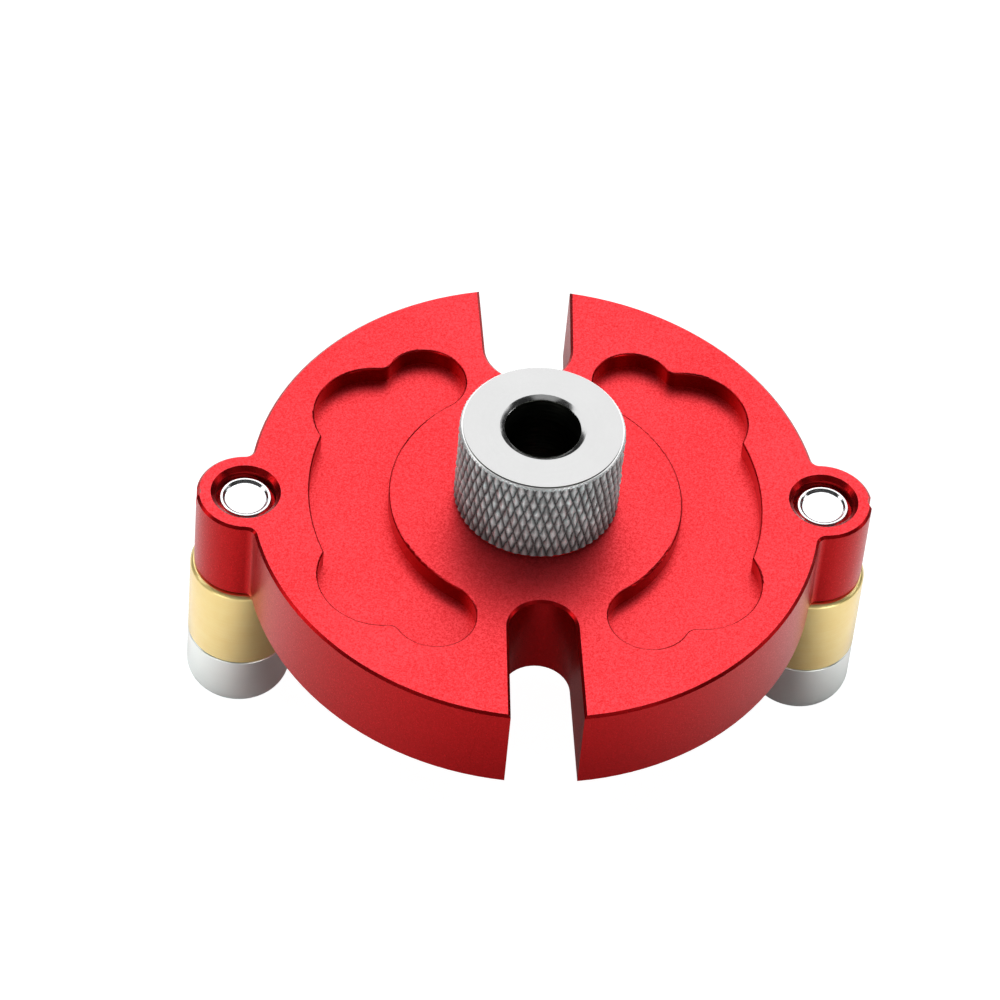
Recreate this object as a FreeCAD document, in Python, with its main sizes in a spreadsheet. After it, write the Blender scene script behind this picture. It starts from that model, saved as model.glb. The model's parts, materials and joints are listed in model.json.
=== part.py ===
import FreeCAD, Part
import math
import os

import Sketcher

# Self centering doweling jig, in millimetres.
# The drill axis is the Z axis. z = 0 is the underside of the plate, the face
# that sits on the edge of the board; the two posts hang down from it, one on
# each side of the board. The posts stand on the X axis.

doc = FreeCAD.newDocument("doweling_jig")

# ---------------------------------------------------------------- dimensions
DIMENSIONS = [
    # plate
    ("plate_thickness", 13.4, "plate, underside to top face"),
    ("disc_radius", 38.0, "round part of the plate"),
    ("post_offset", 38.4, "drill axis to each post axis"),
    ("ear_radius", 6.5, "ear round each post"),
    ("ear_fillet", 1.2, "blend between ear and disc"),
    ("rim_chamfer", 0.35, "broken edge round both faces of the plate"),
    # sighting slots, open at the rim, with full-radius inner ends
    ("back_slot_radius", 5.85, "inner end of the back slot"),
    ("back_slot_mouth", 6.25, "half width of the back slot at the rim"),
    ("back_slot_centre", 26.8, "drill axis to the centre of the inner end"),
    ("front_slot_radius", 4.45, "inner end of the front slot"),
    ("front_slot_mouth", 4.75, "half width of the front slot at the rim"),
    ("front_slot_centre", 22.8, "drill axis to the centre of the inner end"),
    # relief pockets in the top face
    ("pocket_depth", 2.5, "depth of the two relief pockets"),
    ("boss_radius", 19.5, "round land left in the middle"),
    ("pocket_mid_radius", 30.0, "outer wall opposite the post"),
    ("corner_lobe_radius", 8.4, "lobe at each outer corner"),
    ("corner_lobe_x", 20.75, "its centre"),
    ("corner_lobe_y", 14.1, "its centre"),
    ("end_lobe_radius", 5.4, "lobe at each end, tangent to the land"),
    ("end_lobe_x", 14.0, "its centre"),
    ("lobe_blend", 1.5, "blend between the two lobes"),
    ("cusp_blend", 0.5, "blend between the corner lobe and the middle"),
    ("pocket_edge_round", 0.3, "rounded top edge of the pockets"),
    # centre hole for the bushing
    ("bushing_hole_radius", 8.0, "centre hole, at the thread's major radius"),
    ("bushing_hole_chamfer", 0.6, "lead-in at the top of the centre hole"),
    # post holes
    ("post_hole_radius", 4.05, "threaded hole in the ear, at its major radius"),
    ("post_hole_countersink", 0.6, "countersink at the top of the post hole"),
    ("mark_radius", 1.15, "index nick on the outermost edge of each ear, cut with a round tool"),
    ("mark_offset", 0.55, "edge of the ear to the axis of the tool"),
    ("mark_height", 2.0, "how far the nick runs down"),
    # drill bushing
    ("collar_radius", 11.0, "knurled collar"),
    ("collar_height", 13.7, "plate to the top of the collar"),
    ("collar_chamfer", 0.5, "both ends of the collar"),
    ("bore_radius", 5.0, "drill bore"),
    ("bore_lead_width", 0.75, "lead-in at the top of the bore, how much wider than the bore"),
    ("bore_lead_depth", 0.35, "how far it runs down"),
    ("shank_radius", 7.95, "bushing shank, at the thread's major radius"),
    ("shank_chamfer", 1.0, "start of the thread"),
    ("relief_radius", 6.9, "thread relief under the collar"),
    ("relief_height", 2.0, "its height"),
    # posts
    ("foot_radius", 7.0, "foot of the post"),
    ("foot_height", 9.5, "its height"),
    ("foot_round", 3.0, "rounded lower edge of the foot"),
    ("foot_chamfer", 0.12, "upper edge of the foot"),
    ("shoulder_radius", 5.0, "shoulder that the sleeve turns on"),
    ("shoulder_length", 13.7, "underside of the plate to the foot"),
    ("stud_radius", 4.0, "threaded end of the post"),
    ("stud_top", 12.4, "height of the end of the post"),
    ("stud_tip_radius", 3.4, "flat end of the thread"),
    ("socket_flats", 6.0, "hexagon socket in the foot, across flats"),
    ("socket_depth", 4.2, "its depth"),
    # sleeves
    ("sleeve_radius", 7.0, "outside of the sleeve"),
    ("sleeve_bore", 5.06, "its bore, a running fit on the shoulder"),
    ("sleeve_top_gap", 0.2, "end play between the plate and the sleeve"),
    ("sleeve_foot_gap", 0.1, "clearance between the sleeve and the foot"),
    ("sleeve_top_chamfer", 0.4, "upper outside edge of the sleeve"),
    ("sleeve_low_chamfer", 0.12, "its lower outside edge"),
]

sheet = doc.addObject("Spreadsheet::Sheet", "Params")
sheet.Label = "Params"
sheet.set("A1", "name")
sheet.set("B1", "value")
sheet.set("C1", "meaning")
for row, (name, value, meaning) in enumerate(DIMENSIONS, start=2):
    sheet.set("A%d" % row, name)
    sheet.set("B%d" % row, str(value))
    sheet.set("C%d" % row, meaning)
    sheet.setAlias("B%d" % row, name)
doc.recompute()


class Dim:
    """A length kept both as a number and as an expression on the sheet."""

    def __init__(self, value, text):
        self.value = value
        self.text = text

    @staticmethod
    def of(other):
        return other if isinstance(other, Dim) else Dim(float(other), str(other))

    def __add__(self, other):
        o = Dim.of(other)
        return Dim(self.value + o.value, "(%s + %s)" % (self.text, o.text))

    def __sub__(self, other):
        o = Dim.of(other)
        return Dim(self.value - o.value, "(%s - %s)" % (self.text, o.text))

    def __mul__(self, other):
        o = Dim.of(other)
        return Dim(self.value * o.value, "(%s * %s)" % (self.text, o.text))

    def __neg__(self):
        return Dim(-self.value, "(-1 * %s)" % self.text)


def dim(name):
    return Dim(float(sheet.get(name)), "Params.%s" % name)


ZERO = Dim(0.0, "0")


# ------------------------------------------------------------------- helpers
def vec(x, y, z=0.0):
    return FreeCAD.Vector(x, y, z)


def plane(body, role):
    for feature in body.Origin.OriginFeatures:
        if feature.Role == role:
            return feature
    raise RuntimeError("no plane " + role)


def new_body(label, x=None):
    body = doc.addObject("PartDesign::Body", label)
    body.Label = label
    if x is not None:
        body.Placement = FreeCAD.Placement(vec(x.value, 0, 0), FreeCAD.Rotation())
        body.setExpression(".Placement.Base.x", x.text)
    return body


def new_sketch(body, name, role="XY_Plane", height=None):
    sketch = body.newObject("Sketcher::SketchObject", name)
    sketch.AttachmentSupport = [(plane(body, role), "")]
    sketch.MapMode = "FlatFace"
    if height is not None:
        sketch.AttachmentOffset = FreeCAD.Placement(vec(0, 0, height.value), FreeCAD.Rotation())
        sketch.setExpression(".AttachmentOffset.Base.z", height.text)
    return sketch


def bind(sketch, index, length):
    sketch.setExpression("Constraints[%d]" % index, length.text)


def locate(sketch, geo, pos, x, y):
    """Tie a point to the origin by driving distances, one along each axis."""
    for kind, axis, length in (("DistanceX", -2, x), ("DistanceY", -1, y)):
        if abs(length.value) < 1e-9:
            sketch.addConstraint(Sketcher.Constraint("PointOnObject", geo, pos, axis))
        elif length.value > 0:
            k = sketch.addConstraint(Sketcher.Constraint(kind, -1, 1, geo, pos, length.value))
            bind(sketch, k, length)
        else:
            away = -length
            k = sketch.addConstraint(Sketcher.Constraint(kind, geo, pos, -1, 1, away.value))
            bind(sketch, k, away)


def circle(sketch, x, y, radius):
    geo = sketch.addGeometry(Part.Circle(vec(x.value, y.value), vec(0, 0, 1), radius.value), False)
    if abs(x.value) < 1e-9 and abs(y.value) < 1e-9:
        sketch.addConstraint(Sketcher.Constraint("Coincident", geo, 3, -1, 1))
    else:
        locate(sketch, geo, 3, x, y)
    k = sketch.addConstraint(Sketcher.Constraint("Radius", geo, radius.value))
    bind(sketch, k, radius)
    return geo


def outline(sketch, points):
    """A closed chain of straight lines through the given points."""
    n = len(points)
    geos = []
    for i in range(n):
        a, b = points[i], points[(i + 1) % n]
        line = Part.LineSegment(vec(a[0].value, a[1].value), vec(b[0].value, b[1].value))
        geos.append(sketch.addGeometry(line, False))
    for i in range(n):
        sketch.addConstraint(Sketcher.Constraint("Coincident", geos[i], 2, geos[(i + 1) % n], 1))
    for i in range(n):
        locate(sketch, geos[i], 1, points[i][0], points[i][1])
    return geos


def pad(body, sketch, name, length):
    feature = body.newObject("PartDesign::Pad", name)
    feature.Profile = sketch
    feature.Length = length.value
    feature.setExpression("Length", length.text)
    doc.recompute()
    return feature


def pocket(body, sketch, name, length, upwards):
    """Cut the sketch down into the solid, or up into it from below."""
    before = body.Shape.Volume
    feature = body.newObject("PartDesign::Pocket", name)
    feature.Profile = sketch
    feature.Length = length.value
    feature.setExpression("Length", length.text)
    feature.Reversed = upwards
    doc.recompute()
    if not body.Shape.Volume < before - 0.01:
        raise RuntimeError(name + " cut nothing")
    return feature


def revolve(body, sketch, name):
    feature = body.newObject("PartDesign::Revolution", name)
    feature.Profile = sketch
    feature.ReferenceAxis = (sketch, ["V_Axis"])
    feature.Angle = 360.0
    doc.recompute()
    return feature


def edges_where(shape, test):
    return ["Edge%d" % (i + 1) for i, e in enumerate(shape.Edges) if test(e)]


def dress(body, kind, name, edges, size):
    """A fillet or chamfer on edges of the body as it stands."""
    base = body.Tip
    feature = body.newObject("PartDesign::" + kind, name)
    feature.Base = (base, edges)
    key = "Radius" if kind == "Fillet" else "Size"
    setattr(feature, key, size.value)
    feature.setExpression(key, size.text)
    doc.recompute()
    return feature


def is_upright(edge):
    if not isinstance(edge.Curve, Part.Line):
        return False
    d = edge.Curve.Direction
    return abs(abs(d.z) - 1.0) < 1e-6


def middle(edge):
    return edge.valueAt((edge.FirstParameter + edge.LastParameter) / 2.0)


def flat_at(edge, z):
    box = edge.BoundBox
    return abs(box.ZMin - z) < 1e-6 and abs(box.ZMax - z) < 1e-6


# --------------------------------------------------------------------- plate
def make_plate():
    t = dim("plate_thickness")
    body = new_body("jig_body")

    # round disc
    disc = new_sketch(body, "disc_outline")
    circle(disc, ZERO, ZERO, dim("disc_radius"))
    pad(body, disc, "disc", t)

    # an ear each side for the posts
    ears = new_sketch(body, "ear_outline")
    circle(ears, dim("post_offset"), ZERO, dim("ear_radius"))
    circle(ears, -dim("post_offset"), ZERO, dim("ear_radius"))
    pad(body, ears, "ears", t)

    # blends where the ears meet the disc: the four upright inside corners
    corners = edges_where(
        body.Shape,
        lambda e: is_upright(e) and 30.0 < abs(middle(e).x) < 40.0 and abs(middle(e).y) > 3.0,
    )
    if len(corners) != 4:
        raise RuntimeError("ear corners: %d" % len(corners))
    dress(body, "Fillet", "ear_blends", corners, dim("ear_fillet"))

    # sighting slots
    for side, sign in (("back", 1.0), ("front", -1.0)):
        r = dim(side + "_slot_radius")
        mouth = dim(side + "_slot_mouth")
        centre = dim(side + "_slot_centre")
        rim = dim("disc_radius")
        past = rim + 4.0
        # the flare goes on past the rim at the same slope
        flare = (mouth.value - r.value) / (rim.value - centre.value)
        far = Dim(
            r.value + flare * (past.value - centre.value),
            "(%s + (%s - %s) / (%s - %s) * (%s - %s))"
            % (r.text, mouth.text, r.text, rim.text, centre.text, past.text, centre.text),
        )
        cy = centre if sign > 0 else -centre
        py = past if sign > 0 else -past
        sketch = new_sketch(body, side + "_slot_outline")
        start, end = (math.pi, 2 * math.pi) if sign > 0 else (0.0, math.pi)
        arc = sketch.addGeometry(
            Part.ArcOfCircle(Part.Circle(vec(0, cy.value), vec(0, 0, 1), r.value), start, end), False
        )
        # arc runs anticlockwise: its start is on the -X side at the back and on the +X side in front
        s = -1.0 if sign > 0 else 1.0
        a = sketch.addGeometry(Part.LineSegment(vec(-s * r.value, cy.value), vec(-s * far.value, py.value)), False)
        b = sketch.addGeometry(Part.LineSegment(vec(-s * far.value, py.value), vec(s * far.value, py.value)), False)
        c = sketch.addGeometry(Part.LineSegment(vec(s * far.value, py.value), vec(s * r.value, cy.value)), False)
        for g1, p1, g2, p2 in ((arc, 2, a, 1), (a, 2, b, 1), (b, 2, c, 1), (c, 2, arc, 1)):
            sketch.addConstraint(Sketcher.Constraint("Coincident", g1, p1, g2, p2))
        locate(sketch, arc, 3, ZERO, cy)
        k = sketch.addConstraint(Sketcher.Constraint("Radius", arc, r.value))
        bind(sketch, k, r)
        # the arc is a half circle: both its ends are level with its centre
        sketch.addConstraint(Sketcher.Constraint("Horizontal", arc, 1, arc, 3))
        sketch.addConstraint(Sketcher.Constraint("Horizontal", arc, 2, arc, 3))
        locate(sketch, b, 1, far if -s > 0 else -far, py)
        locate(sketch, b, 2, far if s > 0 else -far, py)
        pocket(body, sketch, side + "_slot", t, True)

    # broken edge all round both faces
    for z, name in ((t.value, "top_edge"), (0.0, "bottom_edge")):
        rim_edges = edges_where(body.Shape, lambda e: flat_at(e, z))
        dress(body, "Chamfer", name, rim_edges, dim("rim_chamfer"))

    # relief pocket on the +X side, scalloped: the land in the middle, an end
    # lobe tangent to it at each end, a corner lobe, and the middle arc
    boss = dim("boss_radius")
    mid = dim("pocket_mid_radius")
    r1, x1, y1 = dim("corner_lobe_radius"), dim("corner_lobe_x"), dim("corner_lobe_y")
    r2, x2 = dim("end_lobe_radius"), dim("end_lobe_x")
    y2 = math.sqrt((boss.value + r2.value) ** 2 - x2.value ** 2)

    def meet(ax, ay, ar, bx, by, br, near):
        d = math.hypot(bx - ax, by - ay)
        along = (ar * ar - br * br + d * d) / (2 * d)
        off = math.sqrt(ar * ar - along * along)
        ux, uy = (bx - ax) / d, (by - ay) / d
        found = [
            (ax + along * ux - s * off * uy, ay + along * uy + s * off * ux) for s in (1.0, -1.0)
        ]
        return min(found, key=lambda p: math.hypot(p[0] - near[0], p[1] - near[1]))

    p1 = meet(0, 0, mid.value, x1.value, y1.value, r1.value, (28.2, 10.0))
    p2 = meet(x1.value, y1.value, r1.value, x2.value, y2, r2.value, (19.5, 23.0))
    p3 = (x2.value * boss.value / (boss.value + r2.value), y2 * boss.value / (boss.value + r2.value))

    def arc_between(sketch, cx, cy, r, start, end):
        """Anticlockwise arc from start to end."""
        a0 = math.atan2(start[1] - cy, start[0] - cx)
        a1 = math.atan2(end[1] - cy, end[0] - cx)
        while a1 <= a0:
            a1 += 2 * math.pi
        return sketch.addGeometry(Part.ArcOfCircle(Part.Circle(vec(cx, cy), vec(0, 0, 1), r), a0, a1), False)

    def down(p):
        return (p[0], -p[1])

    sketch = new_sketch(body, "pocket_outline", height=t)
    land = arc_between(sketch, 0, 0, boss.value, down(p3), p3)
    middle_arc = arc_between(sketch, 0, 0, mid.value, down(p1), p1)
    corner_up = arc_between(sketch, x1.value, y1.value, r1.value, p1, p2)
    end_up = arc_between(sketch, x2.value, y2, r2.value, p2, p3)
    end_down = arc_between(sketch, x2.value, -y2, r2.value, down(p3), down(p2))
    corner_down = arc_between(sketch, x1.value, -y1.value, r1.value, down(p2), down(p1))
    for g in (land, middle_arc):
        sketch.addConstraint(Sketcher.Constraint("Coincident", g, 3, -1, 1))
    for g1, e1, g2, e2 in (
        (middle_arc, 2, corner_up, 1),
        (corner_up, 2, end_up, 1),
        (end_down, 2, corner_down, 1),
        (corner_down, 2, middle_arc, 1),
    ):
        sketch.addConstraint(Sketcher.Constraint("Coincident", g1, e1, g2, e2))
    for g, r in ((land, boss), (middle_arc, mid), (corner_up, r1), (corner_down, r1), (end_up, r2), (end_down, r2)):
        k = sketch.addConstraint(Sketcher.Constraint("Radius", g, r.value))
        bind(sketch, k, r)
    locate(sketch, corner_up, 3, x1, y1)
    locate(sketch, corner_down, 3, x1, -y1)
    for g in (end_up, end_down):
        k = sketch.addConstraint(Sketcher.Constraint("DistanceX", -1, 1, g, 3, x2.value))
        bind(sketch, k, x2)
    sketch.addConstraint(Sketcher.Constraint("Tangent", end_up, 2, land, 2))
    sketch.addConstraint(Sketcher.Constraint("Tangent", end_down, 1, land, 1))
    right = pocket(body, sketch, "relief_pocket", dim("pocket_depth"), False)

    # the same pocket on the -X side
    before = body.Shape.Volume
    mirror = body.newObject("PartDesign::Mirrored", "relief_pocket_mirrored")
    mirror.Originals = [right]
    mirror.MirrorPlane = (plane(body, "YZ_Plane"), [""])
    body.Tip = mirror
    doc.recompute()
    if not body.Shape.Volume < before - 100.0:
        raise RuntimeError("the mirrored pocket cut nothing")

    # blends on the points of the scallops
    for point, size, name in ((p2, "lobe_blend", "lobe_blends"), (p1, "cusp_blend", "cusp_blends")):
        found = edges_where(
            body.Shape,
            lambda e: is_upright(e)
            and math.hypot(abs(middle(e).x) - point[0], abs(middle(e).y) - point[1]) < 0.05,
        )
        if len(found) != 4:
            raise RuntimeError("%s: %d edges" % (name, len(found)))
        dress(body, "Fillet", name, found, dim(size))

    # rounded top edge all round both pockets
    brink = edges_where(
        body.Shape,
        lambda e: flat_at(e, t.value)
        and abs(middle(e).x) > 8.0
        and math.hypot(middle(e).x, middle(e).y) < 35.0,
    )
    if len(brink) != 20:
        raise RuntimeError("pocket edges: %d" % len(brink))
    dress(body, "Fillet", "pocket_edges", brink, dim("pocket_edge_round"))

    # centre hole for the bushing
    sketch = new_sketch(body, "bushing_hole_outline")
    circle(sketch, ZERO, ZERO, dim("bushing_hole_radius"))
    pocket(body, sketch, "bushing_hole", t, True)
    lead = edges_where(
        body.Shape,
        lambda e: flat_at(e, t.value)
        and isinstance(e.Curve, Part.Circle)
        and abs(e.Curve.Radius - dim("bushing_hole_radius").value) < 1e-6
        and e.Curve.Center.Length < t.value + 0.1
        and abs(e.Curve.Center.x) < 1e-6,
    )
    dress(body, "Chamfer", "bushing_lead_in", lead, dim("bushing_hole_chamfer"))

    # threaded holes for the posts, countersunk at the top
    sketch = new_sketch(body, "post_hole_outline")
    circle(sketch, dim("post_offset"), ZERO, dim("post_hole_radius"))
    circle(sketch, -dim("post_offset"), ZERO, dim("post_hole_radius"))
    pocket(body, sketch, "post_holes", t, True)
    rims = edges_where(
        body.Shape,
        lambda e: flat_at(e, t.value)
        and isinstance(e.Curve, Part.Circle)
        and abs(e.Curve.Radius - dim("post_hole_radius").value) < 1e-6,
    )
    if len(rims) != 2:
        raise RuntimeError("post hole edges: %d" % len(rims))
    dress(body, "Chamfer", "post_hole_countersinks", rims, dim("post_hole_countersink"))

    # index nick at the outermost point of each ear, on the line through the posts
    sketch = new_sketch(body, "nick_outline", height=t)
    tool_x = dim("post_offset") + dim("ear_radius") + dim("mark_offset")
    circle(sketch, tool_x, ZERO, dim("mark_radius"))
    circle(sketch, -tool_x, ZERO, dim("mark_radius"))
    pocket(body, sketch, "index_nicks", dim("mark_height"), False)
    return body


# ------------------------------------------------------------- drill bushing
def make_bushing():
    body = new_body("drill_bushing")
    t = dim("plate_thickness")
    top = t + dim("collar_height")
    bore, shank, collar = dim("bore_radius"), dim("shank_radius"), dim("collar_radius")
    relief = dim("relief_radius")
    sc, cc = dim("shank_chamfer"), dim("collar_chamfer")
    lead_width, lead_depth = dim("bore_lead_width"), dim("bore_lead_depth")
    relief_z = t - dim("relief_height")
    sketch = new_sketch(body, "bushing_profile", role="XZ_Plane")
    outline(
        sketch,
        [
            (bore, ZERO),
            (shank - sc, ZERO),
            (shank, sc),
            (shank, relief_z),
            (relief, relief_z + (shank - relief)),
            (relief, t),
            (collar - cc, t),
            (collar, t + cc),
            (collar, top - cc),
            (collar - cc, top),
            (bore + lead_width, top),
            (bore, top - lead_depth),
        ],
    )
    revolve(body, sketch, "bushing_turned")
    return body


# --------------------------------------------------------------------- posts
def make_post(label, x):
    body = new_body(label, x)
    shoulder_z = -dim("shoulder_length")
    foot_z = shoulder_z - dim("foot_height")
    foot, fc = dim("foot_radius"), dim("foot_chamfer")
    shoulder, stud, tip = dim("shoulder_radius"), dim("stud_radius"), dim("stud_tip_radius")
    top = dim("stud_top")
    sketch = new_sketch(body, label + "_profile", role="XZ_Plane")
    outline(
        sketch,
        [
            (ZERO, foot_z),
            (foot, foot_z),
            (foot, shoulder_z - fc),
            (foot - fc, shoulder_z),
            (shoulder, shoulder_z),
            (shoulder, ZERO),
            (stud, ZERO),
            (stud, top - (stud - tip)),
            (tip, top),
            (ZERO, top),
        ],
    )
    revolve(body, sketch, label + "_turned")

    # rounded lower edge of the foot
    low = edges_where(
        body.Shape,
        lambda e: isinstance(e.Curve, Part.Circle)
        and abs(e.Curve.Radius - foot.value) < 1e-6
        and flat_at(e, foot_z.value),
    )
    dress(body, "Fillet", label + "_round", low, dim("foot_round"))

    # hexagon socket in the foot, flats facing the X direction
    sketch = new_sketch(body, label + "_socket_outline", height=foot_z)
    half = dim("socket_flats") * 0.5
    corner = dim("socket_flats") * 0.57735026919
    outline(
        sketch,
        [
            (half, -(corner * 0.5)),
            (half, corner * 0.5),
            (ZERO, corner),
            (-half, corner * 0.5),
            (-half, -(corner * 0.5)),
            (ZERO, -corner),
        ],
    )
    pocket(body, sketch, label + "_socket", dim("socket_depth"), True)
    return body


# ------------------------------------------------------------------- sleeves
def make_sleeve(label, x):
    body = new_body(label, x)
    high = -dim("sleeve_top_gap")
    low = -dim("shoulder_length") + dim("sleeve_foot_gap")
    outer, bore = dim("sleeve_radius"), dim("sleeve_bore")
    top_ch, low_ch = dim("sleeve_top_chamfer"), dim("sleeve_low_chamfer")
    sketch = new_sketch(body, label + "_profile", role="XZ_Plane")
    outline(
        sketch,
        [
            (bore, low),
            (outer - low_ch, low),
            (outer, low + low_ch),
            (outer, high - top_ch),
            (outer - top_ch, high),
            (bore, high),
        ],
    )
    revolve(body, sketch, label + "_turned")
    return body


right_x = dim("post_offset")
left_x = -dim("post_offset")
pieces = [
    make_plate(),
    make_bushing(),
    make_post("post_screw_left", left_x),
    make_post("post_screw_right", right_x),
    make_sleeve("guide_sleeve_left", left_x),
    make_sleeve("guide_sleeve_right", right_x),
]
doc.recompute()

# ------------------------------------------------------------------- checks
for obj in doc.Objects:
    if "Invalid" in obj.State or "Error" in obj.State:
        raise RuntimeError("%s failed: %s" % (obj.Name, obj.State))
for body in pieces:
    shape = body.Shape
    if shape.isNull() or not shape.isValid():
        raise RuntimeError("%s has no valid shape" % body.Label)
    if len(shape.Solids) != 1:
        raise RuntimeError("%s has %d solids" % (body.Label, len(shape.Solids)))

os.makedirs("parts", exist_ok=True)
for body in pieces:
    body.Shape.exportStep("parts/%s.step" % body.Label)
    box = body.Shape.BoundBox
    print(
        "%-20s volume %9.1f  x %7.2f..%7.2f  y %7.2f..%7.2f  z %7.2f..%7.2f"
        % (body.Label, body.Shape.Volume, box.XMin, box.XMax, box.YMin, box.YMax, box.ZMin, box.ZMax)
    )
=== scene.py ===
import math

import bmesh
import bpy
from mathutils import Matrix, Vector
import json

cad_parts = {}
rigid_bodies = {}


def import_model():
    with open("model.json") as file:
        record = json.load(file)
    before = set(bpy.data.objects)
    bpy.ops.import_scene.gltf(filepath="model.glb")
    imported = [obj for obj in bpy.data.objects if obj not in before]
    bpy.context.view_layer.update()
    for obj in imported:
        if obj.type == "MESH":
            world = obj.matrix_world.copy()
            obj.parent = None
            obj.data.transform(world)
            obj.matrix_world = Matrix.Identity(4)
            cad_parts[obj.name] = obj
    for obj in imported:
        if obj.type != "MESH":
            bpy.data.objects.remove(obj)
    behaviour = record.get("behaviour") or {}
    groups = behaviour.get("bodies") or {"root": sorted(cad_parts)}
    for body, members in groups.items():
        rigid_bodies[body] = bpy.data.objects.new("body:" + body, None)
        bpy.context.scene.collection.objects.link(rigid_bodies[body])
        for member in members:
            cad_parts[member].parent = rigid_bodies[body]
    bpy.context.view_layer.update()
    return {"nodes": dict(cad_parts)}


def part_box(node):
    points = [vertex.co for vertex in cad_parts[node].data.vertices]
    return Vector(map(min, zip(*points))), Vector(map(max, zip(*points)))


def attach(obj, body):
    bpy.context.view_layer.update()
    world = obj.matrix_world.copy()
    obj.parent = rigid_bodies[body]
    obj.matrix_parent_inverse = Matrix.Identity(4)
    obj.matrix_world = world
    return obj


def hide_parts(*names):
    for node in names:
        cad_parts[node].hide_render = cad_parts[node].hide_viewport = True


# nothing of Blender's start-up scene is kept
for o in list(bpy.data.objects):
    bpy.data.objects.remove(o)

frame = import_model()

nodes = frame["nodes"]
scene = bpy.context.scene
scene.view_settings.view_transform = "Standard"
scene.view_settings.look = "None"
scene.view_settings.exposure = 0.0
scene.view_settings.gamma = 1.0

MM = 0.001
TAU = 2 * math.pi

# The places of the pieces, in millimetres, read from the frame.
PLATE_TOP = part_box("jig_body")[1].z / MM
COLLAR_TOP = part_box("drill_bushing")[1].z / MM
POST_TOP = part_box("post_screw_left")[1].z / MM
POST_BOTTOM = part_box("post_screw_left")[0].z / MM
POST_X = (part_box("guide_sleeve_right")[0].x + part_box("guide_sleeve_right")[1].x) / 2 / MM
SLEEVE_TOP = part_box("guide_sleeve_right")[1].z / MM
SLEEVE_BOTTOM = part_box("guide_sleeve_right")[0].z / MM
FLOOR = POST_BOTTOM


# ------------------------------------------------------------------ camera
cam_data = bpy.data.cameras.new("camera")
cam_data.lens = 198.0
cam_data.sensor_fit = "HORIZONTAL"
cam_data.sensor_width = 36.0
cam_data.clip_start = 0.05
cam_data.clip_end = 30.0
cam = bpy.data.objects.new("camera", cam_data)
scene.collection.objects.link(cam)
cam.matrix_world = Matrix(
    (
        (0.9971808885, -0.0156048507, -0.0733945790, -0.0581948),
        (-0.0367879345, 0.7508372927, -0.6594619078, -0.4806335),
        (0.0653981916, 0.6603028461, 0.7481465284, 0.5577825),
        (0.0, 0.0, 0.0, 1.0),
    )
)
scene.camera = cam


# --------------------------------------------------------------- mesh tools
def mesh_object(name, bm, sharp=32.0):
    bmesh.ops.remove_doubles(bm, verts=bm.verts, dist=2e-7)
    bmesh.ops.dissolve_degenerate(bm, edges=bm.edges, dist=2e-7)
    loose = [v for v in bm.verts if not v.link_faces]
    if loose:
        bmesh.ops.delete(bm, geom=loose, context="VERTS")
    bmesh.ops.recalc_face_normals(bm, faces=bm.faces)
    mesh = bpy.data.meshes.new(name)
    bm.to_mesh(mesh)
    bm.free()
    mesh.polygons.foreach_set("use_smooth", [True] * len(mesh.polygons))
    mesh.set_sharp_from_angle(angle=math.radians(sharp))
    obj = bpy.data.objects.new(name, mesh)
    scene.collection.objects.link(obj)
    return obj


def ring(bm, x, r, z, n):
    """One closed row of a turned piece. r is a number or a function of the angle."""
    out = []
    for i in range(n):
        a = TAU * i / n
        rr = r(a) if callable(r) else r
        out.append(bm.verts.new(((x + rr * math.cos(a)) * MM, rr * math.sin(a) * MM, z * MM)))
    return out


def skin(bm, rows):
    """Quads between closed rows with the same number of points."""
    for a, b in zip(rows, rows[1:]):
        n = len(a)
        for i in range(n):
            j = (i + 1) % n
            bm.faces.new((a[i], a[j], b[j], b[i]))


def cap(bm, row, x, z):
    c = bm.verts.new((x * MM, 0.0, z * MM))
    n = len(row)
    for i in range(n):
        bm.faces.new((row[i], row[(i + 1) % n], c))


def rounded(points, sizes, steps=3):
    """A profile of (r, z) points whose corners are rounded: sizes[i] is how far from the corner the round starts."""
    out = []
    for i, p in enumerate(points):
        s = sizes[i]
        if s == 0 or i == 0 or i == len(points) - 1:
            out.append(p)
            continue
        a, b = points[i - 1], points[i + 1]
        la, lb = math.dist(a, p), math.dist(b, p)
        ta, tb = min(s, la * 0.45) / la, min(s, lb * 0.45) / lb
        pa = (p[0] + (a[0] - p[0]) * ta, p[1] + (a[1] - p[1]) * ta)
        pb = (p[0] + (b[0] - p[0]) * tb, p[1] + (b[1] - p[1]) * tb)
        for k in range(steps + 1):
            t = k / steps
            out.append(
                tuple((1 - t) ** 2 * pa[c] + 2 * t * (1 - t) * p[c] + t * t * pb[c] for c in (0, 1))
            )
    return out


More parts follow.
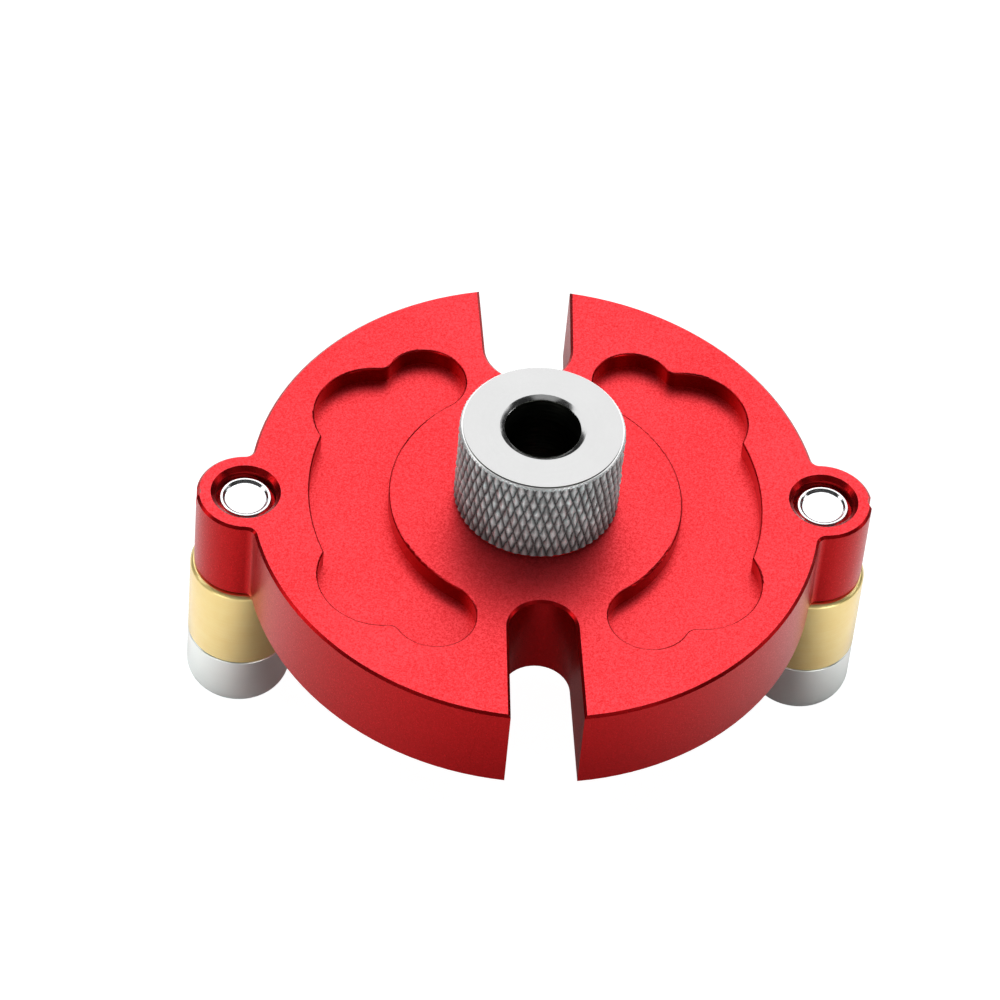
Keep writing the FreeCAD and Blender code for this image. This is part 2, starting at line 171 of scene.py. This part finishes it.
def helix(bm, x, major, minor, pitch, z_low, z_high, n, limit, crest=0.14, root=0.24, per=12, turn=1.0):
    """A right-hand thread. Its rows follow the helix; those past either end fold flat onto it and are merged.
    limit(z) is the largest radius allowed at a height, which cuts the lead-in and the run-out."""
    flank = (1 - crest - root) / 2

    def profile(t):
        t %= 1.0
        if t < root:
            return minor
        if t < root + flank:
            return minor + (major - minor) * (t - root) / flank
        if t < root + flank + crest:
            return major
        return major - (major - minor) * (t - root - flank - crest) / flank

    marks = sorted({0.0, root, root + flank, root + flank + crest} | {k / per for k in range(per)})
    marks = [m for i, m in enumerate(marks) if i == 0 or m - marks[i - 1] > 0.02]
    levels = []
    k = math.floor(z_low / pitch) - 2
    while k * pitch < z_high + pitch:
        levels += [(k + m) * pitch for m in marks]
        k += 1
    rows = []
    for base in levels:
        row = []
        for i in range(n + 1):
            a = TAU * i / n
            z = base + pitch * a / TAU * turn
            zz = min(max(z, z_low), z_high)
            r = profile(base / pitch) if z == zz else profile((zz - pitch * a / TAU * turn) / pitch)
            r = min(r, limit(zz))
            row.append(bm.verts.new(((x + r * math.cos(a)) * MM, r * math.sin(a) * MM, zz * MM)))
        rows.append(row)
    for p, q in zip(rows, rows[1:]):
        for i in range(n):
            bm.faces.new((p[i], p[i + 1], q[i + 1], q[i]))


# ------------------------------------------------------------ material tools
class Mat:
    """A small builder for procedural materials on the Principled shader."""

    def __init__(self, name):
        self.m = bpy.data.materials.new(name)
        self.m.use_nodes = True
        self.t = self.m.node_tree
        self.t.nodes.clear()
        self.out = self.t.nodes.new("ShaderNodeOutputMaterial")
        self.p = self.t.nodes.new("ShaderNodeBsdfPrincipled")
        self.link(self.p.outputs["BSDF"], self.out.inputs["Surface"])
        tc = self.t.nodes.new("ShaderNodeTexCoord")
        self.co = tc.outputs["Object"]

    def link(self, a, b):
        self.t.links.new(a, b)

    def set(self, **kw):
        for k, v in kw.items():
            self.p.inputs[k.replace("_", " ")].default_value = v

    def math(self, op, a, b=None, c=None, clamp=False):
        n = self.t.nodes.new("ShaderNodeMath")
        n.operation = op
        n.use_clamp = clamp
        for i, v in enumerate((a, b, c)):
            if v is None:
                continue
            if isinstance(v, (int, float)):
                n.inputs[i].default_value = v
            else:
                self.link(v, n.inputs[i])
        return n.outputs[0]

    def noise(self, scale, detail=2.0, rough=0.5, co=None, distortion=0.0):
        n = self.t.nodes.new("ShaderNodeTexNoise")
        n.inputs["Scale"].default_value = scale
        n.inputs["Detail"].default_value = detail
        n.inputs["Roughness"].default_value = rough
        n.inputs["Distortion"].default_value = distortion
        self.link(co or self.co, n.inputs["Vector"])
        return n.outputs["Fac"]

    def ramp(self, v, lo, hi, to_lo=0.0, to_hi=1.0, smooth=False):
        n = self.t.nodes.new("ShaderNodeMapRange")
        n.interpolation_type = "SMOOTHSTEP" if smooth else "LINEAR"
        n.clamp = True
        for k, x in zip(("From Min", "From Max", "To Min", "To Max"), (lo, hi, to_lo, to_hi)):
            n.inputs[k].default_value = x
        self.link(v, n.inputs["Value"])
        return n.outputs["Result"]

    def mix(self, f, a, b):
        n = self.t.nodes.new("ShaderNodeMix")
        n.data_type = "RGBA"
        for k, v in ((0, f), (6, a), (7, b)):
            if isinstance(v, (int, float)):
                n.inputs[k].default_value = v
            elif isinstance(v, tuple):
                n.inputs[k].default_value = (*v, 1.0)
            else:
                self.link(v, n.inputs[k])
        return n.outputs[2]

    def axes(self):
        n = self.t.nodes.new("ShaderNodeSeparateXYZ")
        self.link(self.co, n.inputs[0])
        return n.outputs[0], n.outputs[1], n.outputs[2]

    def shift(self, x, y=0.0, z=0.0, scale=(1.0, 1.0, 1.0)):
        """Object coordinates moved so that a piece's own axis is the origin."""
        n = self.t.nodes.new("ShaderNodeMapping")
        n.inputs["Location"].default_value = (-x * scale[0], -y * scale[1], -z * scale[2])
        n.inputs["Scale"].default_value = scale
        self.link(self.co, n.inputs["Vector"])
        return n.outputs[0]

    def bump(self, height, distance, strength=1.0, normal=None):
        n = self.t.nodes.new("ShaderNodeBump")
        n.inputs["Distance"].default_value = distance
        n.inputs["Strength"].default_value = strength
        self.link(height, n.inputs["Height"])
        if normal is not None:
            self.link(normal, n.inputs["Normal"])
        return n.outputs[0]


def radius_and_lines(m, x0):
    """Distance from the piece's own axis and height, for the marks a lathe leaves."""
    x, y, z = m.axes()
    dx = m.math("SUBTRACT", x, x0)
    r = m.math("SQRT", m.math("ADD", m.math("MULTIPLY", dx, dx), m.math("MULTIPLY", y, y)))
    return dx, y, z, r


def turned_steel(name, x0, colour, dark, rough, lines=0.00016, depth=0.0000012, extra=None):
    m = Mat(name)
    dx, y, z, r = radius_and_lines(m, x0)
    cyl = m.t.nodes.new("ShaderNodeCombineXYZ")
    m.link(m.math("MULTIPLY", r, 1.0 / lines), cyl.inputs[0])
    m.link(m.math("MULTIPLY", z, 1.0 / lines), cyl.inputs[1])
    marks = m.noise(1.0, 3.0, 0.6, co=cyl.outputs[0])
    grain = m.noise(2600.0, 3.0, 0.6)
    broad = m.noise(130.0, 2.0, 0.5)
    tone = m.math("ADD", m.math("MULTIPLY", marks, 0.35), m.math("MULTIPLY", broad, 0.65))
    m.link(m.mix(m.ramp(tone, 0.3, 0.7), dark, colour), m.p.inputs["Base Color"])
    m.link(
        m.math("ADD", rough, m.math("MULTIPLY", m.math("SUBTRACT", grain, 0.5), 0.12)),
        m.p.inputs["Roughness"],
    )
    m.set(Metallic=1.0)
    h = m.math("ADD", m.math("MULTIPLY", marks, 1.0), m.math("MULTIPLY", grain, 0.35))
    m.link(m.bump(h, depth), m.p.inputs["Normal"])
    return m


# ----------------------------------------------------- red anodised aluminium
def red_material():
    """Bead-blasted aluminium, anodised red: a fine even speckle under a metallic sheen, with painted light and
    shade: horizontal faces get a lighter, paler red and vertical faces a darker, deeper one.
    """
    m = Mat("red_anodised_bead_blasted")
    grain = m.noise(5200.0, 2.0, 0.6)
    grit = m.noise(2300.0, 2.0, 0.5)
    broad = m.noise(60.0, 3.0, 0.5)
    tone = m.math(
        "ADD",
        m.math("MULTIPLY", grain, 0.60),
        m.math("ADD", m.math("MULTIPLY", grit, 0.28), m.math("MULTIPLY", broad, 0.12)),
    )
    f = m.ramp(tone, 0.40, 0.60)
    n = m.t.nodes.new("ShaderNodeNewGeometry")
    split = m.t.nodes.new("ShaderNodeSeparateXYZ")
    m.link(n.outputs["True Normal"], split.inputs[0])
    # painted light and shade: lit and shaded copies of the one red, chosen by how far a face tilts from vertical.
    # Horizontal faces get a lighter red whose green and blue paint in the white sheen of the light from above;
    # vertical faces get a darker, deeper red that paints in shade. The real anodising is the same on every face. The
    # same mask also gives vertical faces a lower roughness.
    flat = m.ramp(m.math("ABSOLUTE", split.outputs[2]), 0.75, 0.98)
    shaded_upright_red = m.mix(f, (0.43, 0.0025, 0.003), (0.52, 0.005, 0.008))
    lit_level_red = m.mix(f, (0.70, 0.022, 0.028), (0.90, 0.060, 0.074))
    m.link(m.mix(flat, shaded_upright_red, lit_level_red), m.p.inputs["Base Color"])
    spread = m.ramp(flat, 0.0, 1.0, 0.31, 0.41)
    m.link(m.math("ADD", spread, m.ramp(grain, 0.3, 0.7, 0.05, -0.05)), m.p.inputs["Roughness"])
    m.set(Metallic=1.0, Coat_Weight=0.08, Coat_Roughness=0.34, Coat_IOR=1.5)
    m.link(m.bump(grain, 0.000010, 0.55), m.p.inputs["Normal"])
    return m.m


body_obj = nodes["jig_body"]
body_obj.data.materials.clear()
body_obj.data.materials.append(red_material())


# ------------------------------------------------------------- drill bushing
KNURL_COUNT = 57
KNURL_LENGTH = 3.95
KNURL_DEPTH = 0.40
COLLAR_R = 11.0
CHAMFER = 0.5
STEP = 0.19  # the top face stands proud of the chamfer by this much
SUB = 12  # mesh columns in one diamond of the knurl


def tent(t):
    t %= 1.0
    return 2.0 * min(t, 1.0 - t)


def knurl_radius(a, z):
    u = KNURL_COUNT * a / TAU + z / KNURL_LENGTH
    v = KNURL_COUNT * a / TAU - z / KNURL_LENGTH
    h = min(tent(u), tent(v))
    h = min(h / 0.86, 1.0)
    # the grooves run out below the chamfered edge, which stays a whole ring
    out = min(max((z - COLLAR_TOP + 0.85) / 0.5, 0.0), 1.0)
    return COLLAR_R - KNURL_DEPTH * (1.0 - 0.62 * out) * (1.0 - h)


def wobble(a, z, k):
    """A slow irregularity that closes on itself round the collar, about -1 to 1."""
    return (
        math.sin(29 * a + 1.9 * z + 1.7 * k)
        + math.sin(47 * a - 2.3 * z + 0.6 + 2.9 * k)
        + math.sin(83 * a + 3.1 * z + 4.1 * k)
    ) / 2.2


def make_collar(bm):
    """The collar from the edge of its top face, over the knurl, to its underside."""
    n = KNURL_COUNT * SUB
    low, high = PLATE_TOP, COLLAR_TOP
    step = KNURL_LENGTH / SUB
    heights = []
    z = low
    while z < low + CHAMFER - 1e-6:
        heights.append(z)
        z += 0.1
    k0 = math.ceil((low + CHAMFER) / step)
    k1 = math.floor((high - CHAMFER) / step)
    heights += [k * step for k in range(k0, k1 + 1)]
    z = high - CHAMFER
    tail = []
    while z < high - STEP - 0.02:
        tail.append(z)
        z += 0.1
    tail.append(high - STEP)
    heights += [t for t in tail if t > heights[-1] + 0.02]
    heights = [h for i, h in enumerate(heights) if i == 0 or h - heights[i - 1] > 0.02]
    rows = []
    for z in heights:
        edge = min(
            COLLAR_R - CHAMFER + (z - low),
            COLLAR_R - CHAMFER + (high - z),
        )
        row = []
        for i in range(n):
            a = TAU * i / n
            r = knurl_radius(a, z)
            # a rolled knurl: no two diamonds are quite alike
            free = min(max(min((z - low) / 1.2, (high - 0.6 - z) / 1.2), 0.0), 1.0)
            crest = 1.0 - (COLLAR_R - r) / KNURL_DEPTH
            r = min(r - 0.05 * free * crest * (1.0 + wobble(a, z, 2)), edge)
            b, y = a + 0.0070 * free * wobble(a, z, 0), z + 0.12 * free * wobble(a, z, 1)
            row.append(bm.verts.new((r * math.cos(b) * MM, r * math.sin(b) * MM, y * MM)))
        rows.append(row)
    for z in (high - STEP, high):
        rows.append(ring(bm, 0.0, COLLAR_R - CHAMFER, z, n))
        heights.append(z)
    for k, (p, q) in enumerate(zip(rows, rows[1:])):
        zc = (heights[k] + heights[k + 1]) / 2
        for i in range(n):
            j = (i + 1) % n
            ac = TAU * (i + 0.5) / n
            u = KNURL_COUNT * ac / TAU + zc / KNURL_LENGTH
            v = KNURL_COUNT * ac / TAU - zc / KNURL_LENGTH
            # the edges of the mesh follow whichever groove is nearer
            if tent(u) < tent(v):
                bm.faces.new((p[i], p[j], q[i]))
                bm.faces.new((p[j], q[j], q[i]))
            else:
                bm.faces.new((p[i], p[j], q[j]))
                bm.faces.new((p[i], q[j], q[i]))
    return rows[0], rows[-1], n


def make_bushing():
    bm = bmesh.new()
    bottom_row, top_row, n = make_collar(bm)

    # top face, lead-in of the bore, bore, and the lower end
    face = rounded(
        [
            (COLLAR_R - CHAMFER, COLLAR_TOP),
            (5.75, COLLAR_TOP),
            (5.0, COLLAR_TOP - 0.35),
            (5.0, 0.25),
            (5.25, 0.0),
            (6.6, 0.0),
            (6.6, PLATE_TOP - 2.0),
            (6.9, PLATE_TOP - 2.0),
            (6.9, PLATE_TOP),
            (COLLAR_R - CHAMFER, PLATE_TOP),
        ],
        [0, 0.08, 0.08, 0.06, 0.05, 0, 0, 0, 0.3, 0],
    )
    rows = [top_row]
    for r, z in [(9.0, COLLAR_TOP), (7.2, COLLAR_TOP)] + face[1:-1]:
        rows.append(ring(bm, 0.0, r, z, n))
    rows.append(bottom_row)
    skin(bm, rows)
    return mesh_object("bushing_collar", bm, 28.0)


def make_shank():
    """The threaded part of the shank, a closed tube round the bore's wall."""
    bm = bmesh.new()
    n = 144
    top = PLATE_TOP - 2.0

    def limit(z):
        return min(6.95 + z, 6.9 + max(0.0, top - z))

    helix(bm, 0.0, 7.95, 7.03, 1.5, 0.0, top, n, limit)
    skin(bm, [ring(bm, 0.0, r, z, n) for r, z in ((6.95, 0.0), (6.6, 0.0), (6.6, top), (6.9, top))])
    return mesh_object("bushing_thread", bm, 28.0)


def bushing_material(name, colour, dark, rough):
    return turned_steel(name, 0.0, colour, dark, rough).m


def knurl_material():
    """Rolled diamonds with painted light and shade: crests painted near-white as a painted highlight that a noise
    varies from diamond to diamond, grooves painted near-black as painted shade, and the colour painted darker
    towards the collar's foot as painted shade.
    """
    m = Mat("bushing_knurled_steel")
    dx, y, z, r = radius_and_lines(m, 0.0)
    grain = m.noise(2600.0, 3.0, 0.6)
    patch = m.noise(1200.0, 2.0, 0.6)
    # painted highlight and painted shade: the crest mask takes the colour from near-black in the grooves to
    # near-white on the crests, and the noise makes the highlight stronger on some diamonds than on others. The crest
    # colour's cyan tint offsets the red light that the plate throws up onto the collar.
    crest = m.ramp(r, (COLLAR_R - 0.37) * MM, (COLLAR_R - 0.08) * MM)
    crest = m.math("MULTIPLY", crest, m.ramp(patch, 0.34, 0.60, 0.62, 1.06))
    steel = m.mix(crest, (0.098, 0.122, 0.122), (0.84, 1.0, 1.0))
    # painted shade: darker towards the bottom, where the collar stands on the plate.
    low = m.ramp(z, PLATE_TOP * MM, (PLATE_TOP + 4.5) * MM, 0.30, 1.0)
    m.link(m.mix(low, (0.030, 0.035, 0.035), steel), m.p.inputs["Base Color"])
    m.link(m.ramp(patch, 0.34, 0.60, 0.40, 0.20), m.p.inputs["Roughness"])
    m.set(Metallic=0.2)
    m.link(m.bump(grain, 0.000012), m.p.inputs["Normal"])
    return m.m


def bushing_bore_material():
    """Reamed bore: painted near-black as painted shade for the deep narrow bore, over the marks of the reamer."""
    m = Mat("bushing_bore_steel")
    dx, y, z, r = radius_and_lines(m, 0.0)
    cyl = m.t.nodes.new("ShaderNodeCombineXYZ")
    m.link(m.math("MULTIPLY", z, 1.0 / 0.0004), cyl.inputs[1])
    m.link(m.math("MULTIPLY", m.math("ARCTAN2", y, dx), 1.4), cyl.inputs[0])
    marks = m.noise(1.0, 3.0, 0.6, co=cyl.outputs[0])
    m.link(m.mix(m.ramp(marks, 0.3, 0.7), (0.035, 0.037, 0.030), (0.11, 0.115, 0.095)), m.p.inputs["Base Color"])
    m.link(m.ramp(marks, 0.3, 0.7, 0.28, 0.42), m.p.inputs["Roughness"])
    m.set(Metallic=1.0)
    m.link(m.bump(marks, 0.000004), m.p.inputs["Normal"])
    return m.m


collar = make_bushing()
collar.data.materials.append(
    bushing_material("bushing_turned_steel", (0.485, 0.485, 0.485), (0.46, 0.46, 0.46), 0.18)
)
collar.data.materials.append(knurl_material())
collar.data.materials.append(bushing_bore_material())
# painted highlight: the chamfer at the collar's top edge and the ledge below the top face get a far lighter copy of
# the turned steel, a bright line painted along the edge.
collar.data.materials.append(
    bushing_material("bushing_edge_painted_highlight", (0.90, 0.90, 0.90), (0.80, 0.80, 0.80), 0.36)
)
for poly in collar.data.polygons:
    c = poly.center
    r, z = math.hypot(c.x, c.y) / MM, c.z / MM
    if r > COLLAR_R - CHAMFER + 0.005 and PLATE_TOP + 0.1 < z < COLLAR_TOP - 0.02:
        edge = min(COLLAR_R - CHAMFER + (COLLAR_TOP - z), COLLAR_R - CHAMFER + (z - PLATE_TOP))
        # index 3 is the lighter edge steel, the painted highlight along the top edge.
        poly.material_index = 3 if r > edge - 0.012 and z > COLLAR_TOP - CHAMFER - 0.02 else 1
        if z > COLLAR_TOP - STEP - 0.01:
            poly.material_index = 3
    elif r < 5.04 and z < COLLAR_TOP - 0.34:
        poly.material_index = 2
    # painted shade: the small vertical step below the edge of the top face gets the near-black bore colour, a dark
    # line painted along the collar's top edge.
    elif r > COLLAR_R - CHAMFER - 0.01 and COLLAR_TOP - STEP < z < COLLAR_TOP - 0.02:
        poly.material_index = 2
shank = make_shank()
shank.data.materials.append(
    bushing_material("bushing_thread_steel", (0.66, 0.66, 0.65), (0.52, 0.52, 0.51), 0.28)
)
for o in (collar, shank):
    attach(o, "bushing")
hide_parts("drill_bushing")


# --------------------------------------------------------------------- posts
def hexagon(a):
    """Radius of the 6 mm socket at an angle, flats facing the X direction."""
    s = math.pi / 3
    return 3.0 / math.cos((a + s / 2) % s - s / 2)


def make_post(name, x):
    bm = bmesh.new()
    n = 120
    top, low = POST_TOP, POST_BOTTOM
    shoulder = SLEEVE_BOTTOM - 0.1
    thread_low = top - 6.0

    def limit(z):
        return min(4.0, 3.4 + (top - 0.1 - z) * 1.1, 3.4 + z - thread_low)

    # the end of the thread: a raised lip round a shallow dish
    end = rounded(
        [(3.4, top - 0.1), (3.3, top), (3.04, top), (2.72, top - 0.36), (0.9, top - 0.42), (0.0, top - 0.42)],
        [0.0, 0.08, 0.08, 0.12, 0.6, 0],
        4,
    )
    rows = [ring(bm, x, r, z, n) for r, z in end[:-1]]
    skin(bm, rows)
    cap(bm, rows[-1], x, end[-1][1])
    helix(bm, x, 4.0, 3.4, 1.25, thread_low, top - 0.1, n, limit)
    # below the thread: plain stud, shoulder, foot
    body = rounded(
        [
            (4.0, thread_low),
            (4.0, 0.0),
            (5.0, 0.0),
            (5.0, shoulder),
            (6.88, shoulder),
            (7.0, shoulder - 0.12),
            (7.0, low + 3.0),
        ],
        [0, 0, 0.1, 0, 0.05, 0.05, 0],
    )
    rows = [ring(bm, x, 3.4, thread_low, n)]
    rows += [ring(bm, x, r, z, n) for r, z in body]
    steps = 12
    for k in range(1, steps + 1):
        t = math.pi / 2 * k / steps
        rows.append(ring(bm, x, 4.0 + 3.0 * math.cos(t), low + 3.0 - 3.0 * math.sin(t), n))
    # the hexagon socket, with a drilled cone at its bottom
    rows.append(ring(bm, x, 3.72, low, n))
    rows.append(ring(bm, x, lambda a: min(3.72, hexagon(a) + 0.05), low + 0.12, n))
    rows.append(ring(bm, x, hexagon, low + 0.45, n))
    rows.append(ring(bm, x, hexagon, low + 4.2, n))
    rows.append(ring(bm, x, 2.7, low + 4.2, n))
    skin(bm, rows)
    cap(bm, rows[-1], x, low + 5.0)
    return mesh_object(name, bm, 30.0)


for side, x in (("left", -POST_X), ("right", POST_X)):
    post = make_post("post_%s" % side, x)
    satin = turned_steel("post_satin_%s" % side, x * MM, (0.905, 0.955, 0.94), (0.825, 0.87, 0.855), 0.31, 0.0002, 0.0000016)
    satin.set(Coat_Weight=0.6, Coat_Roughness=0.22)
    satin = satin.m
    bright = turned_steel("post_thread_%s" % side, x * MM, (0.90, 0.91, 0.92), (0.80, 0.81, 0.83), 0.17, 0.0003, 0.0000010).m
    post.data.materials.append(satin)
    post.data.materials.append(bright)
    for poly in post.data.polygons:
        if poly.center.z > 0.0:
            poly.material_index = 1
    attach(post, "jig")
    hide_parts("post_screw_%s" % side)


# ------------------------------------------------------------------- sleeves
def make_sleeve(name, x):
    bm = bmesh.new()
    n = 120
    top, low = SLEEVE_TOP, SLEEVE_BOTTOM
    profile = rounded(
        [
            (5.06, (top + low) / 2),
            (5.06, top - 0.3),
            (5.36, top),
            (6.6, top),
            (7.0, top - 0.4),
            (7.0, low + 0.12),
            (6.88, low),
            (5.36, low),
            (5.06, low + 0.3),
            (5.06, (top + low) / 2),
        ],
        [0, 0.06, 0.08, 0.12, 0.16, 0.05, 0.05, 0.08, 0.06, 0],
    )
    skin(bm, [ring(bm, x, r, z, n) for r, z in profile])
    return mesh_object(name, bm, 30.0)


def brass_material(name, x0):
    m = Mat(name)
    dx, y, z, r = radius_and_lines(m, x0)
    cyl = m.t.nodes.new("ShaderNodeCombineXYZ")
    m.link(m.math("MULTIPLY", r, 1.0 / 0.00015), cyl.inputs[0])
    m.link(m.math("MULTIPLY", z, 1.0 / 0.00015), cyl.inputs[1])
    marks = m.noise(1.0, 3.0, 0.6, co=cyl.outputs[0])
    grain = m.noise(3000.0, 3.0, 0.6)
    broad = m.noise(220.0, 3.0, 0.55)
    tone = m.math("ADD", m.math("MULTIPLY", marks, 0.4), m.math("MULTIPLY", broad, 0.6))
    m.link(m.mix(m.ramp(tone, 0.3, 0.7), (0.95, 0.72, 0.27), (0.99, 0.82, 0.36)), m.p.inputs["Base Color"])
    m.link(m.ramp(grain, 0.3, 0.7, 0.34, 0.44), m.p.inputs["Roughness"])
    m.set(Metallic=1.0, Coat_Weight=0.9, Coat_Roughness=0.22)
    h = m.math("ADD", marks, m.math("MULTIPLY", grain, 0.3))
    m.link(m.bump(h, 0.0000018), m.p.inputs["Normal"])
    return m.m


for side, x in (("left", -POST_X), ("right", POST_X)):
    sleeve = make_sleeve("sleeve_turned_%s" % side, x)
    sleeve.data.materials.append(brass_material("sleeve_brass_%s" % side, x * MM))
    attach(sleeve, "sleeve_%s" % side)
    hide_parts("guide_sleeve_%s" % side)


# --------------------------------------------------------------------- stage
def make_plane(name, z):
    bm = bmesh.new()
    s = 6.0
    vs = [bm.verts.new((a * s, b * s, z)) for a, b in ((-1, -1), (1, -1), (1, 1), (-1, 1))]
    bm.faces.new(vs)
    return mesh_object(name, bm)


def make_floor():
    """A white sweep: the surface that is seen, and just below it the one that lights the object from below."""
    seen = make_plane("floor", FLOOR * MM - 0.00003)
    m = Mat("floor_pale")
    m.link(m.mix(m.noise(8.0, 2.0), (0.32, 0.38, 0.38), (0.34, 0.40, 0.40)), m.p.inputs["Base Color"])
    m.set(Roughness=0.9, Specular_IOR_Level=0.1, Emission_Color=(1.0, 1.0, 1.0, 1.0), Emission_Strength=0.92)
    seen.data.materials.append(m.m)
    seen.visible_diffuse = False
    seen.visible_glossy = False
    seen.visible_transmission = False
    seen.visible_shadow = False

    under = make_plane("floor_bounce", FLOOR * MM - 0.00008)
    m = Mat("floor_bounce")
    m.t.nodes.remove(m.p)
    d = m.t.nodes.new("ShaderNodeBsdfDiffuse")
    # painted shadow and painted light: dim under the object, bright around it, a shadow and a pool of light painted
    # on the floor that the object sees in reflections and bounce light.
    x, y, z = m.axes()
    x = m.math("MULTIPLY", m.math("SUBTRACT", x, 0.003), 1.06)
    y = m.math("MULTIPLY", y, 0.72)
    r = m.math("SQRT", m.math("ADD", m.math("MULTIPLY", x, x), m.math("MULTIPLY", y, y)))
    m.link(m.mix(m.ramp(r, 0.032, 0.062, smooth=True), (0.44, 0.44, 0.44), (1.52, 1.52, 1.52)), d.inputs["Color"])
    m.link(d.outputs[0], m.out.inputs["Surface"])
    under.data.materials.append(m.m)
    under.visible_camera = False


make_floor()


def softbox(name, azimuth, elevation, distance, size, radiance, aim=(0.0, 0.0, 0.0)):
    """A softbox seen from the object at this azimuth (0 is +Y, the back, and 90 is +X) and elevation."""
    a, e = math.radians(azimuth), math.radians(elevation)
    place = Vector(aim) + distance * Vector((math.sin(a) * math.cos(e), math.cos(a) * math.cos(e), math.sin(e)))
    d = bpy.data.lights.new(name, "AREA")
    d.shape = "RECTANGLE"
    d.size, d.size_y = size
    d.energy = radiance * math.pi * size[0] * size[1]
    o = bpy.data.objects.new(name, d)
    scene.collection.objects.link(o)
    o.location = place
    o.rotation_mode = "QUATERNION"
    o.rotation_quaternion = (Vector(aim) - place).to_track_quat("-Z", "Y")
    o.visible_camera = False
    return o


# a long softbox behind and above, a small lamp at each side, and weak fills in front and above
softbox("softbox_back", -6.0, 53.0, 1.3, (2.4, 1.15), 1.7)
softbox("lamp_left", -88.0, 27.0, 1.1, (0.35, 0.3), 3.0)
softbox("lamp_right", 86.0, 27.0, 1.1, (0.35, 0.3), 3.2)
softbox("fill_front_left", 222.0, 14.0, 1.1, (0.45, 0.4), 3.6)
softbox("fill_front_right", 146.0, 14.0, 1.1, (0.45, 0.4), 4.3)
softbox("fill_front", 184.0, 22.0, 1.3, (2.0, 0.6), 0.42)
softbox("fill_top", 180.0, 84.0, 1.4, (0.7, 0.5), 0.55)

world = bpy.data.worlds.new("studio")
scene.world = world
world.use_nodes = True
world.node_tree.nodes["Background"].inputs["Color"].default_value = (1.0, 1.0, 1.0, 1.0)
world.node_tree.nodes["Background"].inputs["Strength"].default_value = 0.025
